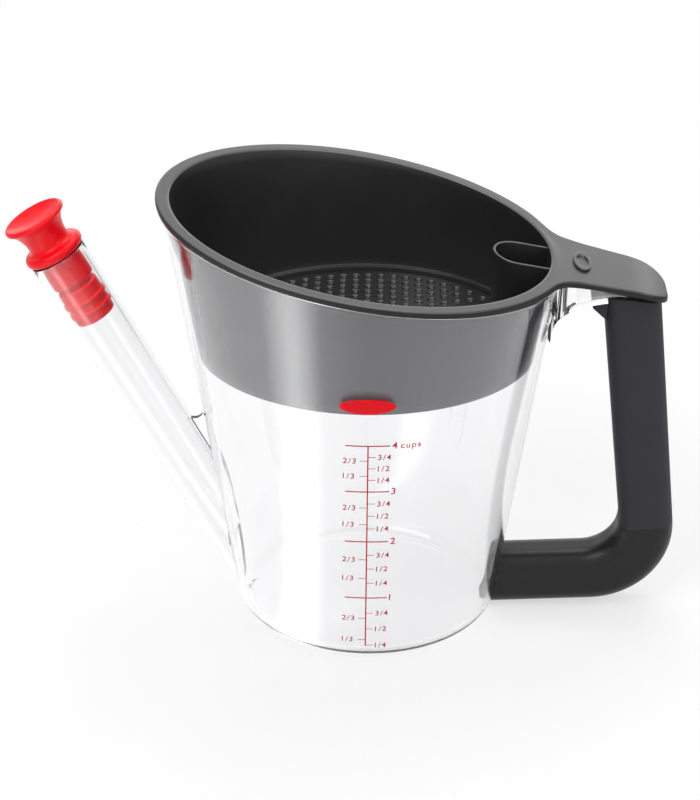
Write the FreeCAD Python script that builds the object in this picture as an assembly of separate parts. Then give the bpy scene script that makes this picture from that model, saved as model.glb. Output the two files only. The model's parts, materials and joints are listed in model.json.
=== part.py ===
import FreeCAD, Part
import math
import os

# Gravy fat separator: a clear jug whose pouring spout leaves at the floor, a strainer that
# hangs in its mouth, a stopper for the spout and a handle with a soft grip.
# Millimetres. +X runs towards the handle, -Y is the side with the printed marks, +Z up.
# The origin is the middle of the face that the jug stands on.

# ---- driving dimensions ---------------------------------------------------------------
# jug
base_half_length = 51.0        # oval wall run down to the table, half length along X
base_half_width = 46.0         # and half width along Y
spout_side_draft = 8.7         # degrees that the wall leans out on the spout side
handle_side_draft = 7.35       # on the handle side
flank_draft = 6.45             # on the two flanks
cup_wall = 2.0
cup_floor = 2.6
base_radius = 8.4              # rounding between the wall and the standing face
rim_height = 166.0             # top of the strainer's lip above the origin
rim_tilt = 9.6                 # degrees that the mouth falls towards the handle
rim_flange_reach = 1.6         # how far the rim's flange stands out of the wall
rim_flange_thickness = 1.8

# pouring spout
spout_angle = 62.15            # degrees between the spout's axis and the table
spout_foot_inset = 13.4        # from the end of the base to where the axis meets the table
spout_mouth_drop = 14.0        # the mouth's centre below the middle of the rim
spout_mouth_radius = 10.9
spout_foot_radius = 9.5
spout_wall = 1.9
outlet_height = 28.0           # top of the opening between the jug and the spout
crotch_radius = 4.2            # rounding of the web between the spout and the jug
web_half_width = 3.2
spout_foot_trim = 1.6          # the spout's foot stops this far above the table

# strainer
lip_thickness = 2.2
seat_gap = 0.1                 # between the strainer's lip and the jug's rim
basket_wall = 1.3
basket_rim_gap = 0.3           # between the basket and the jug's wall at the rim
basket_foot_gap = 1.2          # the same at the basket's foot
basket_foot_height = 117.6
ledge_width = 1.4              # step inside the basket's foot
ledge_height = 4.4             # top of that step above the basket's foot
straining_floor_thickness = 1.6
straining_floor_rise = 0.6     # underside of the straining floor above the basket's foot
straining_floor_fit = 0.02     # between the straining floor and the basket round it
hole_radius = 1.35
hole_sides = 6
hole_pitch_x = 5.0
hole_pitch_y = 4.5
hole_margin = 3.6              # from the floor's edge to the first ring of holes
chimney_half_width = 9.4       # vent chimney at the handle end of the basket
chimney_reach = 22.5           # from the basket's wall to the chimney's nose
chimney_wall = 1.0
chimney_nose_share = 0.999     # radius of the nose's corners over its half width
chimney_drop = 1.2             # chimney's top edge below the lip's top

# tab of the strainer, over the handle
tab_thickness = 2.0
tab_root_angle = 27.5          # degrees round the lip's oval where the tab leaves it
tab_neck_half_width = 18.4
tab_end_half_width = 13.6
tab_neck_radius = 14.0
tab_corner_radius = 11.0
tab_end_reach = 60.0           # all reaches are along X from the end of the base
tab_slope = 12.3               # degrees that the tab falls
tab_start_reach = 11.0         # where the tab's top leaves the plane of the lip
tab_bend_reach = 45.0          # where it starts to droop
tab_bend_radius = 46.0
boss_half_length = 7.6         # oval boss on the tab, across the handle
boss_half_width = 3.5
boss_rise = 0.7
boss_dish = 0.4                # depth of the dish in it
boss_rim = 0.9                 # width of the rim around the dish
boss_reach = 27.6

# handle
grip_reach = 59.7              # where the grip's axis crosses the seam
seam_z = 39.5                  # seam between the soft grip and the hard elbow
grip_lean = 7.2                # degrees between the grip's axis and upright
grip_seam_half_length = 10.5   # section along X at the seam
grip_top_half_length = 10.8    # and under the bracket
grip_half_width = 9.3          # section along Y
grip_edge_radius = 7.0
grip_wall = 2.4
grip_fit = 0.05                # between the grip and the core inside it
crown_reach = 43.0             # the grip's domed top: its highest point
crown_drop = 7.6               # and how far it lies below the tab's top line
crown_radius = 47.0
arm_rise = 3.4                 # degrees that the lower arm rises towards the elbow
arm_reach = 19.0               # a point of the arm's centre line
arm_z = 13.3
arm_half_height = 11.5
elbow_outer_radius = 33.0
elbow_inner_radius = 15.0
handle_gap = 0.15              # between the handle and the clear jug
grip_lip_reach = 4.2           # small lip of the grip under the bracket
grip_lip_height = 5.0
grip_lip_half_width = 6.4
stub_half_width = 6.5          # moulded stub of the jug inside the lower arm
stub_half_height = 7.5
stub_length = 9.0
stub_wall = 2.0
stub_fit = 0.05

# bracket that carries the handle's top
bracket_gap = 0.4              # under the tab
bracket_seat = 2.6             # how deep the bracket sits below the grip's crown
bracket_side_gap = 0.15        # between the bracket and the grip's rim round it
bracket_root_half_width = 16.0 # where it grows out of the jug's wall
bracket_flare_radius = 8.0
bracket_end_radius = 4.5
bracket_root_radius = 8.0
bracket_wall = 2.0
bracket_rib_reach = 24.4       # cross rib of the channel
bracket_rib = 1.3

# screw that holds the handle's top
screw_radius = 1.75
screw_length = 22.0
screw_head_radius = 3.4
screw_head_height = 1.6
screw_fit = 0.05
screw_drive_radius = 1.6
screw_drive_depth = 0.9

# stopper
stopper_rib_gap = 0.05         # between the stopper's ribs and the spout's bore
stopper_plug_gap = 0.7         # between the plug's smooth part and the bore
stopper_plug_length = 12.0
stopper_groove_radius = 5.6
stopper_groove_width = 1.6
stopper_seal_length = 15.0
stopper_rib_width = 2.0
stopper_rib_height = 0.7
stopper_rib_places = (0.3, 0.6)  # shares of the seal's length, from its lower end
stopper_edge_radius = 1.2
stopper_flange_radius = 11.7
stopper_flange_thickness = 4.2
stopper_neck_radius = 8.0
stopper_waist_height = 2.3     # narrowest place above the flange's top
stopper_neck_height = 10.9     # from the flange's top to the knob's underside edge
stopper_knob_radius = 12.2
stopper_knob_edge = 2.2
stopper_dish_depth = 2.6
stopper_seat_gap = 0.1         # between the flange and the spout's mouth

FAR = 300.0                    # reach of the tool bodies that only cut
V = FreeCAD.Vector
UP = V(0, 0, 1)
ALONG_Y = V(0, 1, 0)

tan = math.tan
rad = math.radians

# places along X, counted from the end of the base
spout_foot_x = spout_foot_inset - base_half_length
tab_start_x = base_half_length + tab_start_reach
tab_bend_x = base_half_length + tab_bend_reach
tab_end_x = base_half_length + tab_end_reach
boss_x = base_half_length + boss_reach
bracket_rib_x = base_half_length + bracket_rib_reach
grip_axis_x = base_half_length + grip_reach
crown_x = base_half_length + crown_reach
arm_x = base_half_length + arm_reach


# ---- geometry that the pieces share ---------------------------------------------------
def oval_axes(z, offset=0.0):
    """Centre x, half length and half width of the jug's outer oval at height z."""
    left = tan(rad(spout_side_draft))
    right = tan(rad(handle_side_draft))
    centre = z * (right - left) / 2
    half_length = base_half_length + z * (right + left) / 2 + offset
    half_width = base_half_width + z * tan(rad(flank_draft)) + offset
    return centre, half_length, half_width


def oval_wire(centre, half_length, half_width, z):
    """An oval in a level plane: a unit circle stretched along X and Y."""
    stretch = FreeCAD.Matrix()
    stretch.A11 = half_length
    stretch.A22 = half_width
    stretch.A14 = centre
    stretch.A34 = z
    circle = Part.Wire([Part.Circle(V(0, 0, 0), UP, 1.0).toShape()])
    return circle.transformGeometry(stretch)


def oval_body(offset, z_low, z_high):
    """The jug's tapered oval form, grown by offset, between two heights."""
    low = oval_wire(*oval_axes(z_low, offset), z_low)
    high = oval_wire(*oval_axes(z_high, offset), z_high)
    return Part.makeLoft([low, high], True, True)


def round_foot(body, radius):
    """Round the lowest edge of a body."""
    foot = min(body.Edges, key=lambda edge: edge.CenterOfMass.z)
    return body.makeFillet(radius, [foot])


def rim_z(x, below_lip_top=0.0):
    """Height of the tilted mouth at x."""
    return rim_height - below_lip_top - x * tan(rad(rim_tilt))


def above_plane(x, z, tilt=0.0):
    """Everything above a plane through (x, z) that falls by tilt degrees along +X."""
    block = Part.makeBox(2 * FAR, 2 * FAR, FAR, V(-FAR, -FAR, 0))
    block.rotate(V(0, 0, 0), ALONG_Y, tilt)
    block.translate(V(x, 0, z))
    return block


def above_level(z):
    """Everything above height z."""
    return above_plane(0, z)


def above_mouth(below_lip_top):
    """Everything above the tilted plane that lies below_lip_top under the lip's top."""
    return above_plane(0, rim_height - below_lip_top, rim_tilt)


def mouth_slab(body, top, bottom):
    """The part of a body between two planes parallel to the mouth."""
    return body.cut(above_mouth(top)).common(above_mouth(bottom))


def rounded_outline(corners, to_point):
    """A closed wire through corners (u, v, radius), with a tangent arc at each radius."""
    edges = []
    ends = []
    count = len(corners)
    for i, (u, v, radius) in enumerate(corners):
        here = V(u, v, 0)
        before = V(*corners[i - 1][:2], 0) - here
        after = V(*corners[(i + 1) % count][:2], 0) - here
        before.normalize()
        after.normalize()
        if radius == 0:
            ends.append((here, here))
            continue
        half = before.getAngle(after) / 2
        reach = radius / tan(half)
        middle = before + after
        middle.normalize()
        bulge = radius / math.sin(half) - radius
        ends.append((here + before * reach, here + after * reach))
        start, stop = ends[-1]
        through = (start, here + middle * bulge, stop)
        edges.append(Part.Arc(*(to_point(p.x, p.y) for p in through)).toShape())
    for i in range(count):
        start = to_point(*ends[i - 1][1][:2])
        stop = to_point(*ends[i][0][:2])
        if start.distanceToPoint(stop) > 1e-6:
            edges.append(Part.LineSegment(start, stop).toShape())
    return Part.Wire(Part.__sortEdges__(edges))


def level_plane(x, y):
    """A plan point."""
    return V(x, y, 0)


def side_plane(x, z):
    """A point of the middle plane, seen from the side."""
    return V(x, 0, z)


def plan_prism(corners):
    """A plan outline run up through everything."""
    outline = rounded_outline(corners, level_plane)
    return Part.Face(outline).extrude(V(0, 0, FAR))


def side_prism(wire, half_width):
    """A side outline run to both flanks."""
    face = Part.Face(wire)
    face.translate(V(0, -half_width, 0))
    return face.extrude(V(0, 2 * half_width, 0))


# The tab's top line: straight from the lip, then drooping on an arc.
def tab_line_z(x):
    """Height of the tab's straight stretch at x."""
    return rim_z(tab_start_x) - (x - tab_start_x) * tan(rad(tab_slope))


def above_tab(depth):
    """Everything above the tab's top line moved in by depth."""
    slope = rad(tab_slope)
    centre = V(tab_bend_x, 0, tab_line_z(tab_bend_x))
    centre -= V(math.sin(slope), 0, math.cos(slope)) * tab_bend_radius
    radius = tab_bend_radius - depth
    last = math.asin((tab_end_x - centre.x) / tab_bend_radius) + rad(tab_slope)
    angles = (slope, (slope + last) / 2, last)
    arc = [centre + V(math.sin(a), 0, math.cos(a)) * radius for a in angles]
    start = V(base_half_length, 0, tab_line_z(base_half_length) - depth / math.cos(slope))
    sky = rim_height + FAR
    lines = Part.makePolygon([arc[2], V(arc[2].x, 0, sky), V(start.x, 0, sky), start, arc[0]])
    return side_prism(Part.Wire(Part.__sortEdges__(lines.Edges + [Part.Arc(*arc).toShape()])), FAR / 2)


def tab_outline():
    """Plan corners of the tab: out of the lip's oval, in to a neck, on to a rounded end."""
    centre, half_length, half_width = oval_axes(rim_z(tab_start_x, lip_thickness), rim_flange_reach)
    turn = rad(tab_root_angle)
    root = (centre + half_length * math.cos(turn), half_width * math.sin(turn))
    run = half_length * math.sin(turn) / (half_width * math.cos(turn))
    neck_x = root[0] + (root[1] - tab_neck_half_width) * run
    side = [
        (root[0] - root[1], root[1] / 2, 0),
        (root[0], root[1], 0),
        (neck_x, tab_neck_half_width, tab_neck_radius),
        (tab_end_x, tab_end_half_width, tab_corner_radius),
    ]
    return side + mirrored(side)


def mirrored(side):
    """The same plan corners on the other flank, in the order that closes the outline."""
    return [(x, -y, radius) for x, y, radius in reversed(side)]


# ---- handle lines, which the jug's bracket and stub follow too -------------------------
crown_z = tab_line_z(crown_x) - crown_drop
grip_way = V(-math.sin(rad(grip_lean)), 0, math.cos(rad(grip_lean)))
grip_across = V(math.cos(rad(grip_lean)), 0, math.sin(rad(grip_lean)))
grip_seam = V(grip_axis_x, 0, seam_z)
arm_way = V(-math.cos(rad(arm_rise)), 0, -math.sin(rad(arm_rise)))
arm_up = V(-math.sin(rad(arm_rise)), 0, math.cos(rad(arm_rise)))
arm_point = V(arm_x, 0, arm_z)
crown_centre = V(crown_x, 0, crown_z - crown_radius)


def above_crown(depth):
    """Everything above the grip's domed top, moved in by depth."""
    drum = Part.makeCylinder(crown_radius - depth, FAR, V(0, -FAR / 2, 0), ALONG_Y)
    drum.rotate(V(0, 0, 0), ALONG_Y, 180)
    drum.translate(crown_centre)
    return above_level(crown_centre.z).cut(drum)


def crossing(point_a, way_a, point_b, way_b):
    """Where two lines of the middle plane cross."""
    across_b = V(-way_b.z, 0, way_b.x)
    reach = (point_b - point_a).dot(across_b) / way_a.dot(across_b)
    return point_a + way_a * reach


def handle_form(inset):
    """The whole handle's outer form, moved in by inset: column, elbow and arm."""
    column = crown_z - seam_z
    top = grip_seam + grip_way * 2 * column
    half_seam = grip_seam_half_length - inset
    half_top = grip_seam_half_length - 2 * (grip_seam_half_length - grip_top_half_length) - inset
    half_arm = arm_half_height - inset
    arm_end = arm_point + arm_way * base_half_length
    right_top = top + grip_across * half_top
    right_way = grip_seam + grip_across * half_seam - right_top
    left_top = top - grip_across * half_top
    left_way = grip_seam - grip_across * half_seam - left_top
    outer = crossing(right_top, right_way, arm_point - arm_up * half_arm, arm_way)
    inner = crossing(left_top, left_way, arm_point + arm_up * half_arm, arm_way)
    corners = [
        (left_top, 0),
        (right_top, 0),
        (outer, elbow_outer_radius - inset),
        (arm_end - arm_up * half_arm, 0),
        (arm_end + arm_up * half_arm, 0),
        (inner, elbow_inner_radius + inset),
    ]
    outline = rounded_outline([(point.x, point.z, radius) for point, radius in corners], side_plane)
    half_width = grip_half_width - inset
    body = side_prism(outline, half_width)
    long_edges = []
    for edge in body.Edges:
        middle = edge.CenterOfMass
        on_flank = abs(abs(middle.y) - half_width) < 1e-3
        at_end = (middle - top).Length < 2 * half_width or (middle - arm_end).Length < half_arm
        if on_flank and not at_end:
            long_edges.append(edge)
    return body.makeFillet(grip_edge_radius - inset, long_edges)


def above_seam(depth):
    """Everything above the seam between grip and elbow, moved down the axis by depth."""
    point = grip_seam - grip_way * depth
    return above_plane(point.x, point.z, -grip_lean)


def bracket_outline(inset):
    """Plan corners of the bracket, moved in by inset: flared root, straight sides."""
    half = grip_half_width - grip_wall - bracket_side_gap - inset
    centre, half_length, half_width = oval_axes(crown_z)
    root = bracket_root_half_width - inset
    root_x = centre + half_length * math.sqrt(1 - (root / half_width) ** 2)
    end_x = grip_axis_x - (crown_z - seam_z) * tan(rad(grip_lean))
    end_x += grip_top_half_length - grip_wall - bracket_side_gap - inset
    side = [
        (root_x - root, root / 2, 0),
        (root_x, root, 0),
        (centre + half_length, half, bracket_flare_radius + inset),
        (end_x, half, bracket_end_radius - inset),
    ]
    return side + mirrored(side)


def root_wedge(depth):
    """Fills the corner between the jug's wall and the bracket's underside with a curve."""
    draft = rad(handle_side_draft)
    wall_up = V(math.sin(draft), 0, math.cos(draft))
    wall_out = V(math.cos(draft), 0, -math.sin(draft))
    radius = bracket_root_radius
    under = crown_radius - depth
    start = V(base_half_length, 0, 0) + wall_out * radius - crown_centre
    along = start.dot(wall_up)
    rise = math.sqrt((under - radius) ** 2 - start.dot(start) + along * along) - along
    middle = crown_centre + start + wall_up * rise
    on_wall = middle - wall_out * radius
    to_crown = middle - crown_centre
    to_crown.normalize()
    on_crown = middle + to_crown * radius
    between = to_crown - wall_out
    between.normalize()
    arc = Part.Arc(on_wall, middle + between * radius, on_crown).toShape()
    inside = on_wall - wall_out * cup_wall / 2
    high = on_crown.z + radius
    lines = Part.makePolygon([on_crown, V(on_crown.x, 0, high), V(inside.x, 0, high), inside, on_wall])
    return side_prism(Part.Wire(Part.__sortEdges__([arc] + lines.Edges)), FAR / 2)


def bracket_form(inset, depth):
    """The bracket's outer form, its sides moved in by inset, its underside at depth."""
    half = grip_half_width - grip_wall - bracket_side_gap - inset
    wedge = root_wedge(depth).common(Part.makeBox(FAR, 2 * half, FAR, V(0, -half, 0)))
    return above_crown(depth).common(plan_prism(bracket_outline(inset))).fuse(wedge)


def screw_seat():
    """Where the grip's axis meets the bracket's floor."""
    radius = crown_radius - bracket_seat + bracket_wall
    start = grip_seam - crown_centre
    along = start.dot(grip_way)
    reach = math.sqrt(radius ** 2 - start.dot(start) + along * along) - along
    return grip_seam + grip_way * reach


def screw_form(fit):
    """The screw's outer form, grown by fit: a sunk head on a plain shank."""
    seat = screw_seat()
    way = grip_way * -1
    head = Part.makeCone(screw_head_radius + fit, screw_radius + fit, screw_head_height, seat, way)
    shank = Part.makeCylinder(screw_radius + fit, screw_length + fit, seat, way)
    return head.fuse(shank)


def stub_form(inset):
    """Oval stub that the jug's wall sends along the arm's centre line."""
    stretch = FreeCAD.Matrix()
    stretch.A22 = stub_half_width - inset
    stretch.A33 = stub_half_height - inset
    reach = stub_length + base_radius
    stub = Part.makeCylinder(1.0, reach, V(0, 0, 0), V(1, 0, 0)).transformGeometry(stretch)
    stub.rotate(V(0, 0, 0), ALONG_Y, -arm_rise)
    wall_x = base_half_length + arm_z * tan(rad(handle_side_draft))
    foot = arm_point + arm_way * (arm_x - wall_x + base_radius)
    stub.translate(foot)
    return stub


# ---- jug ------------------------------------------------------------------------------
spout_way = V(-math.cos(rad(spout_angle)), 0, math.sin(rad(spout_angle)))
spout_foot = V(spout_foot_x, 0, 0)
spout_length = (rim_height - spout_mouth_drop) / math.sin(rad(spout_angle))
spout_mouth = spout_foot + spout_way * spout_length
spout_draft = (spout_mouth_radius - spout_foot_radius) / spout_length


def spout_cone(inset, past_mouth=0.0):
    """The spout's outer form, moved in by inset, from below the table to its mouth."""
    length = spout_length + past_mouth
    deep = spout_foot_radius * 2
    low = spout_foot_radius - inset - deep * spout_draft
    high = spout_mouth_radius - inset + past_mouth * spout_draft
    return Part.makeCone(low, high, length + deep, spout_foot - spout_way * deep, spout_way)


def make_web():
    """Fills the narrow corner above the joint of spout and jug with a rounded web."""
    draft = rad(spout_side_draft)
    wall_up = V(-math.sin(draft), 0, math.cos(draft))
    turn = math.atan(spout_draft)
    spout_up = V(-math.cos(rad(spout_angle) - turn), 0, math.sin(rad(spout_angle) - turn))
    above_axis = V(math.sin(rad(spout_angle)), 0, math.cos(rad(spout_angle)))
    spout_line = spout_foot + above_axis * spout_foot_radius
    corner = crossing(V(-base_half_length, 0, 0), wall_up, spout_line, spout_up)
    half = wall_up.getAngle(spout_up) / 2
    middle = wall_up + spout_up
    middle.normalize()
    reach = crotch_radius / tan(half)
    bottom = corner + middle * (crotch_radius / math.sin(half) - crotch_radius)
    arc = Part.Arc(corner + wall_up * reach, bottom, corner + spout_up * reach).toShape()
    ends = [corner + spout_up * reach, corner - middle * reach, corner + wall_up * reach]
    outline = Part.Wire(Part.__sortEdges__([arc] + Part.makePolygon(ends).Edges))
    return side_prism(outline, web_half_width)


def make_bracket(cup):
    """Clear channel under the tab: a floor and low walls, with a rib across it."""
    pocket = bracket_form(bracket_wall, bracket_seat - bracket_wall)
    rib = Part.makeBox(bracket_rib, FAR, FAR, V(bracket_rib_x, -FAR / 2, 0))
    pocket = pocket.cut([rib, cup])
    bracket = bracket_form(0, bracket_seat).cut(pocket)
    return bracket.cut([above_tab(tab_thickness + bracket_gap), above_mouth(0)])


def make_jug():
    """Clear jug: oval cup, flanged rim, spout from the floor, handle bracket and stub."""
    tall = rim_height + FAR / 2
    cup = round_foot(oval_body(0, 0, tall), base_radius)
    cavity = round_foot(oval_body(-cup_wall, cup_floor, tall), base_radius - cup_wall)
    rim_top = lip_thickness / math.cos(rad(rim_tilt)) + seat_gap
    under_tab = above_tab(tab_thickness + seat_gap)
    flange = mouth_slab(oval_body(rim_flange_reach, 0, tall), rim_top, rim_top + rim_flange_thickness)
    flange = flange.cut(under_tab)
    spout = spout_cone(0).common(above_level(spout_foot_trim))
    bore = spout_cone(spout_wall, 1.0).common(above_level(cup_floor))
    outlet = bore.cut(above_level(outlet_height))
    shell = cup.cut([above_mouth(rim_top), under_tab]).fuse([spout, make_web()])
    hollow = stub_form(stub_wall).cut(cup)
    body = shell.fuse(flange).fuse(make_bracket(cup)).fuse(stub_form(0).cut(hollow))
    return body.cut(cavity).cut([bore.cut(cup), outlet, screw_form(screw_fit)])


# ---- strainer -------------------------------------------------------------------------
def basket_body(inset):
    """The basket's outer form, moved in by inset, from its foot to past its lip."""
    top_z = rim_z(-base_half_length)
    bottom = oval_axes(basket_foot_height, -cup_wall - basket_foot_gap - inset)
    top = oval_axes(top_z, -cup_wall - basket_rim_gap - inset)
    low = oval_wire(*bottom, basket_foot_height)
    high = oval_wire(*top, top_z)
    upper = oval_wire(*top, top_z + FAR / 3)
    tapered = Part.makeLoft([low, high], True, True)
    return tapered.fuse(Part.makeLoft([high, upper], True, True))


def chimney_prism(inset):
    """The vent chimney's plan run up: a round nose on two straight sides."""
    centre, half_length, _ = oval_axes(rim_z(base_half_length), -cup_wall - basket_rim_gap - basket_wall)
    wall_x = centre + half_length
    nose = wall_x - chimney_reach + inset
    half = chimney_half_width - inset
    corners = [
        (nose, -half, half * chimney_nose_share),
        (wall_x + base_radius, -half, 0),
        (wall_x + base_radius, half, 0),
        (nose, half, half * chimney_nose_share),
    ]
    return plan_prism(corners)


def make_strainer():
    """Strainer: lip, tapered basket with a stepped foot, vent chimney and thumb tab."""
    tall = rim_height + FAR / 2
    lip = mouth_slab(oval_body(rim_flange_reach, 0, tall), 0, lip_thickness / math.cos(rad(rim_tilt)))
    wall = basket_body(0).cut(above_mouth(0))
    tab = plan_prism(tab_outline()).common(above_tab(tab_thickness))
    tab = tab.cut([above_tab(0), above_mouth(0)])
    hollow = basket_body(basket_wall)
    step_z = basket_foot_height + ledge_height
    floor_z = basket_foot_height + straining_floor_rise
    foot_ring = basket_body(basket_wall + ledge_width)
    hollow = hollow.common(above_level(step_z)).fuse(foot_ring)
    chimney = chimney_prism(0).cut(chimney_prism(chimney_wall))
    chimney = chimney.common(basket_body(basket_wall / 2)).common(above_level(floor_z))
    chimney = chimney.cut(above_mouth(chimney_drop))
    body = lip.fuse([wall, tab]).cut(hollow).fuse(chimney)
    body = body.fuse(make_boss()).cut(boss_form(boss_rim, boss_rise, boss_dish))
    return body.removeSplitter()


def boss_form(inset, rise, depth):
    """An oval disc on the tab's slope, from depth below rise and up."""
    stretch = FreeCAD.Matrix()
    stretch.A11 = boss_half_width - inset
    stretch.A22 = boss_half_length - inset
    disc = Part.makeCylinder(1.0, depth).transformGeometry(stretch)
    disc.rotate(V(0, 0, 0), ALONG_Y, tab_slope)
    disc.translate(V(boss_x, 0, tab_line_z(boss_x) + rise - depth))
    return disc


def make_boss():
    """Low oval boss on the tab, left plain."""
    return boss_form(0, boss_rise, boss_rise + tab_thickness / 2)


def make_straining_floor():
    """Oval plate with rings of drain holes, open under the vent chimney."""
    low_z = basket_foot_height + straining_floor_rise
    plate = basket_body(basket_wall + ledge_width + straining_floor_fit)
    plate = plate.common(above_level(low_z)).cut(above_level(low_z + straining_floor_thickness))
    plate = plate.cut(chimney_prism(-straining_floor_fit))
    inset = cup_wall + basket_foot_gap + basket_wall + ledge_width + hole_margin
    centre, half_length, half_width = oval_axes(basket_foot_height, -inset)
    holes = []
    rings = int(half_width / hole_pitch_y)
    columns = int(half_length / hole_pitch_x)
    keep_out = chimney_half_width + hole_radius + chimney_wall
    nose_x = chimney_prism(0).BoundBox.XMin - hole_radius - chimney_wall
    for ring in range(rings + 1):
        ring_length = half_length - ring * hole_pitch_y
        ring_width = half_width - ring * hole_pitch_y
        for column in range(-columns, columns + 1):
            x = column * hole_pitch_x
            if abs(x) >= ring_length:
                continue
            y = ring_width * math.sqrt(1 - (x / ring_length) ** 2)
            if centre + x > nose_x and y < keep_out:
                continue
            if y < hole_pitch_y / 2:
                continue
            for side in (-1, 1):
                holes.append(drain_hole(centre + x, side * y, low_z))
    return plate.cut(Part.makeCompound(holes))


def drain_hole(x, y, z):
    """A many-sided drain hole through the straining floor whose underside is at z."""
    turns = [2 * math.pi * k / hole_sides for k in range(hole_sides)]
    low = z - straining_floor_thickness
    corners = [V(x + hole_radius * math.cos(turn), y + hole_radius * math.sin(turn), low) for turn in turns]
    wire = Part.makePolygon(corners + corners[:1])
    return Part.Face(wire).extrude(V(0, 0, straining_floor_thickness * 3))


# ---- stopper --------------------------------------------------------------------------
def bore_radius(depth):
    """Radius of the spout's bore at a depth below its mouth."""
    return spout_mouth_radius - spout_wall - depth * spout_draft


def flared_middle(narrow, end):
    """A point of the arc that leaves the narrow place along the axis and reaches the end."""
    out = end[0] - narrow[0]
    up = end[1] - narrow[1]
    radius = (out * out + up * up) / (2 * out)
    half = math.asin(up / radius) / 2
    return narrow[0] + radius * (1 - math.cos(half)), narrow[1] + radius * math.sin(half)


def make_stopper():
    """Stopper turned about the spout's axis: dished knob, waist, flange, plug and ribs."""
    seat = stopper_seat_gap
    plug_end = stopper_plug_length
    seal_start = plug_end + stopper_groove_width
    seal_end = seal_start + stopper_seal_length
    plug = bore_radius(0) - stopper_plug_gap
    seal = bore_radius(seal_end) - stopper_rib_gap - stopper_rib_height
    flange_top = seat + stopper_flange_thickness
    knob = flange_top + stopper_neck_height
    knob_top = knob + stopper_knob_edge
    flange_mid = seat + stopper_flange_thickness / 2
    flange_round = stopper_flange_thickness / 2
    waist = flange_top + stopper_waist_height
    soft = stopper_edge_radius
    bulge = soft * (1 - math.sqrt(0.5))
    edges = []

    def point(radius, height):
        return V(radius, 0, height)

    def line(a, b):
        edges.append(Part.LineSegment(point(*a), point(*b)).toShape())

    def arc(a, b, c):
        edges.append(Part.Arc(point(*a), point(*b), point(*c)).toShape())

    foot = (seal - soft, -seal_end)
    line((0, -seal_end), foot)
    arc(foot, (seal - bulge, -seal_end + bulge), (seal, -seal_end + soft))
    ribs = [seal_end - stopper_seal_length * share for share in stopper_rib_places]
    here = (seal, -seal_end + soft)
    for depth in ribs:
        low = (seal, -depth - stopper_rib_width / 2)
        high = (seal, -depth + stopper_rib_width / 2)
        line(here, low)
        arc(low, (bore_radius(depth) - stopper_rib_gap, -depth), high)
        here = high
    shoulder = (seal, -seal_start - soft)
    line(here, shoulder)
    arc(shoulder, (seal - bulge, -seal_start - bulge), (seal - soft, -seal_start))
    line((seal - soft, -seal_start), (stopper_groove_radius, -seal_start))
    line((stopper_groove_radius, -seal_start), (stopper_groove_radius, -plug_end))
    line((stopper_groove_radius, -plug_end), (plug - soft, -plug_end))
    arc((plug - soft, -plug_end), (plug - bulge, -plug_end + bulge), (plug, -plug_end + soft))
    line((plug, -plug_end + soft), (plug, seat))
    inner = (stopper_flange_radius - flange_round, seat)
    line((plug, seat), inner)
    arc(inner, (stopper_flange_radius, flange_mid), (stopper_flange_radius - flange_round, flange_top))
    inner_top = (stopper_flange_radius - flange_round, flange_top)
    narrow = (stopper_neck_radius, waist)
    knob_low = (stopper_knob_radius - stopper_knob_edge / 2, knob)
    for end in (inner_top, knob_low):
        arc(narrow, flared_middle(narrow, end), end)
    rim_top = (stopper_knob_radius - stopper_knob_edge / 2, knob_top)
    arc(knob_low, (stopper_knob_radius, (knob + knob_top) / 2), rim_top)
    dish_radius = (rim_top[0] ** 2 + stopper_dish_depth ** 2) / (2 * stopper_dish_depth)
    half = math.asin(rim_top[0] / dish_radius) / 2
    dish_centre = knob_top - stopper_dish_depth + dish_radius
    halfway = (dish_radius * math.sin(half), dish_centre - dish_radius * math.cos(half))
    arc(rim_top, halfway, (0, knob_top - stopper_dish_depth))
    line((0, knob_top - stopper_dish_depth), (0, -seal_end))
    profile = Part.Face(Part.Wire(Part.__sortEdges__(edges)))
    stopper = profile.revolve(V(0, 0, 0), UP, 360)
    stopper.rotate(V(0, 0, 0), ALONG_Y, spout_angle - 90)
    stopper.translate(spout_mouth)
    return stopper


# ---- handle ---------------------------------------------------------------------------
def make_handle_core():
    """Hard core: tang inside the grip, elbow and the arm that meets the jug."""
    arm = handle_form(0).cut(above_seam(0))
    cup = round_foot(oval_body(handle_gap, -handle_gap, rim_height), base_radius + handle_gap)
    arm = max(arm.cut(cup).Solids, key=lambda solid: solid.Volume)
    tang = handle_form(grip_wall + grip_fit).common(above_seam(grip_wall))
    tang = tang.cut(above_crown(bracket_seat + handle_gap))
    socket = stub_form(-stub_fit).cut(stub_form(stub_wall + stub_fit))
    return arm.fuse(tang).cut([socket, screw_form(screw_fit)]).removeSplitter()


def make_grip():
    """Soft sleeve on the core's tang, with a rim round the bracket and a lip under it."""
    sleeve = handle_form(0).common(above_seam(0)).cut(above_crown(0))
    top_z = crown_z - bracket_seat
    face_x = grip_axis_x - (top_z - seam_z) * tan(rad(grip_lean)) - grip_top_half_length
    corners = [
        (face_x - grip_lip_reach, top_z + grip_wall, 0),
        (face_x - grip_lip_reach, top_z - grip_wall, 0),
        (face_x + grip_wall / 2, top_z - grip_wall - grip_lip_height, 0),
        (face_x + grip_wall / 2, top_z + grip_wall, 0),
    ]
    lip = side_prism(rounded_outline(corners, side_plane), grip_lip_half_width)
    room = bracket_form(-bracket_side_gap, bracket_seat + handle_gap)
    return sleeve.fuse(lip).cut([handle_form(grip_wall), room]).removeSplitter()


def make_screw():
    """Sunk-head screw with a round driver recess."""
    recess = Part.makeCylinder(screw_drive_radius, screw_drive_depth, screw_seat(), grip_way * -1)
    return screw_form(0).removeSplitter().cut(recess)


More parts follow.
